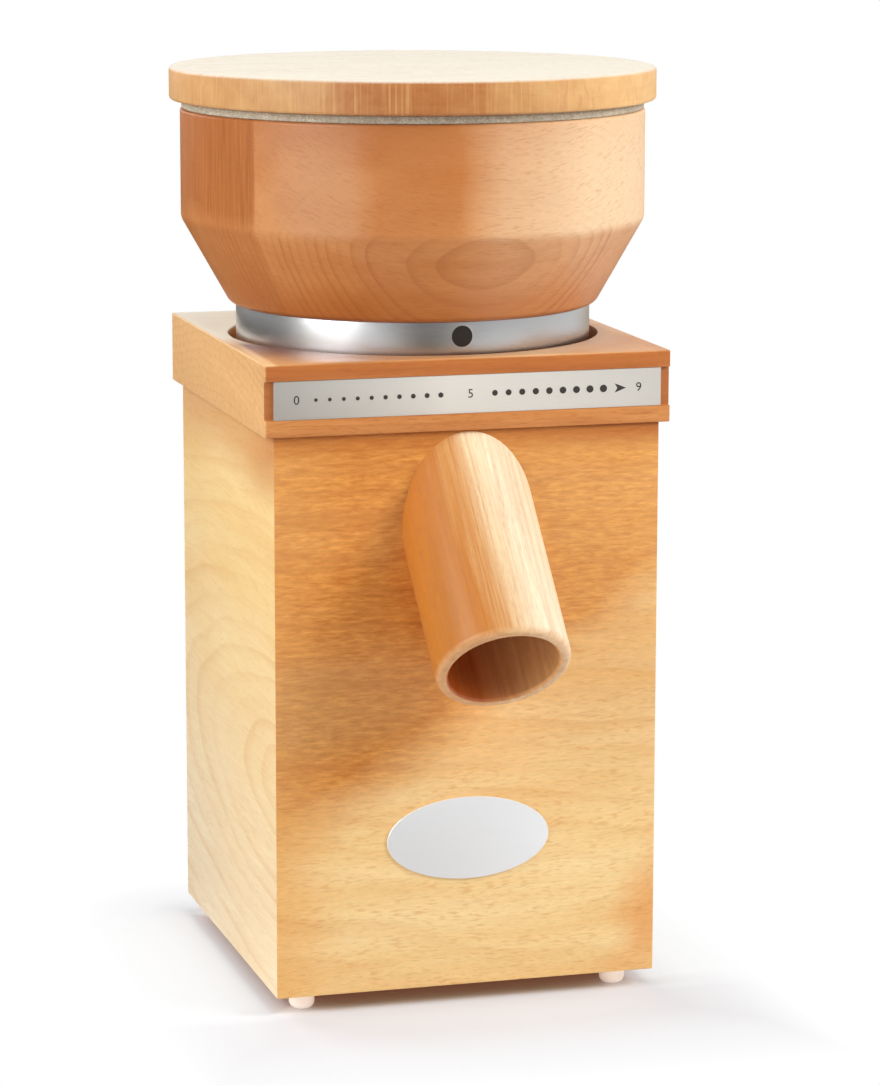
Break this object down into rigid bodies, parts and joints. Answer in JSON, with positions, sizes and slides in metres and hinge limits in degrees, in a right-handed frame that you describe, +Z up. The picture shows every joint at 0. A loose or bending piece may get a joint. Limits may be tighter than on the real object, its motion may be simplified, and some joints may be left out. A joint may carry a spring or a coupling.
{
  "type": "electric grain mill",
  "caption": "Household grain mill: wooden casing with motor and dressed stones, screw-down grain hopper with lid that sets the fineness, steel scale and slanted flour spout.",
  "frame": {"origin": "middle of the overall footprint, spout and lid included, on the surface the feet stand on; the mill axis is 22.2 mm behind it along +Y", "axes": "+Z up along the mill axis, -Y towards the spout, +X to the right when facing the spout"},
  "size_m": [0.172, 0.2155, 0.323],
  "materials": {
    "casing_beech": "oiled beech, warm yellow, fine flecks, satin",
    "block_wood": "plain sawn beech",
    "board_beech": "oiled beech, more orange, long streaks, satin",
    "bowl_beech": "turned beech, oiled, orange brown, satin",
    "lid_beech": "turned pale beech, oiled, satin",
    "spout_beech": "turned beech, grain along the tube, satin",
    "seal_felt": "grey speckled felt",
    "ring_steel": "stainless steel brushed round the ring",
    "plate_steel": "stainless steel brushed lengthwise",
    "foot_plastic": "white plastic glide",
    "dot_black": "black plug",
    "collar_plastic": "dark moulded plastic",
    "cast_aluminium": "cast and machined",
    "millstone": null,
    "machined_steel": "turned and ground steel",
    "zinc_screws": "zinc-plated steel",
    "spring_steel": "spring steel",
    "painted_steel": "dark grey paint",
    "laminated_steel": "stacked laminations",
    "winding_copper": "varnished copper wire",
    "terminal_brass": "tinned brass blades",
    "fan_plastic": "moulded dark plastic",
    "switch_black": "fine-textured black plastic",
    "gland_black": "black nylon",
    "capacitor_white": "white moulded can"
  },
  "bodies": {
    "housing": {"front_board": "casing_beech", "left_board": "casing_beech", "right_board": "casing_beech", "back_board": "casing_beech", "base_board": "casing_beech", "corner_blocks": "block_wood", "base_screws": "zinc_screws", "feet": "foot_plastic", "top_board": "board_beech", "scale_strip": "plate_steel", "name_plate": "plate_steel", "spout": "spout_beech", "mill_chamber": "cast_aluminium", "chamber_screws": "zinc_screws", "shaft_seal": "seal_felt", "guide_pins": "machined_steel", "thread_ring": "cast_aluminium", "thread_ring_screws": "zinc_screws", "motor_bracket": "painted_steel", "bracket_screws": "zinc_screws", "motor_housing": "painted_steel", "upper_end_bell": "cast_aluminium", "lower_end_bell": "cast_aluminium", "upper_bearing": "machined_steel", "lower_bearing": "machined_steel", "stator_core": "laminated_steel", "stator_windings": "winding_copper", "motor_tie_bolts": "zinc_screws", "tie_bolt_nuts": "zinc_screws", "capacitor": "capacitor_white", "capacitor_clip": "spring_steel", "terminal_block": "capacitor_white", "switch_housing": "switch_black", "switch_terminals": "terminal_brass", "cable_gland": "gland_black", "gland_nut": "gland_black"},
    "rotor": {"motor_shaft": "machined_steel", "rotor_core": "laminated_steel", "rotor_end_rings": "cast_aluminium", "cooling_fan": "fan_plastic", "stone_hub": "machined_steel", "lower_stone": "millstone", "stone_washer": "machined_steel", "stone_nut": "machined_steel"},
    "stone_holder": {"stone_carrier": "cast_aluminium", "upper_stone": "millstone", "stone_springs": "spring_steel"},
    "hopper": {"hopper_bowl": "bowl_beech", "hopper_stave_front": "bowl_beech", "hopper_stave_right": "bowl_beech", "hopper_stave_left": "bowl_beech", "hopper_ring": "ring_steel", "thread_collar": "collar_plastic", "feed_funnel": "collar_plastic", "marker_dot": "dot_black", "bowl_screws": "zinc_screws"},
    "lid": {"lid_board": "lid_beech", "lid_seal": "seal_felt"},
    "rocker": {"switch_rocker": "switch_black"}
  },
  "joints": [
    {"name": "rotor_spin", "type": "hinge", "parent": "housing", "child": "rotor", "pos_m": [0, 0.02219, 0.1], "axis": [0, 0, 1], "continuous": true},
    {"name": "stone_lift", "type": "slide", "parent": "housing", "child": "stone_holder", "axis": [0, 0, 1], "range_m": [-0.0007, 0.0081], "deforming": ["stone_springs"]},
    {"name": "hopper_turn", "type": "hinge", "parent": "stone_holder", "child": "hopper", "pos_m": [0, 0.02219, 0.23], "axis": [0, 0, 1], "range_deg": [-50, 576]},
    {"name": "lid_lift", "type": "slide", "parent": "hopper", "child": "lid", "axis": [0, 0, 1], "range_m": [0, 0.06]},
    {"name": "switch_tip", "type": "hinge", "parent": "housing", "child": "rocker", "pos_m": [0, 0.09239, 0.165], "axis": [1, 0, 0], "range_deg": [0, 16]}
  ],
  "couplings": [
    {"joint": "stone_lift", "follows": "hopper_turn", "m_per_rad": 0.00079577}
  ]
}
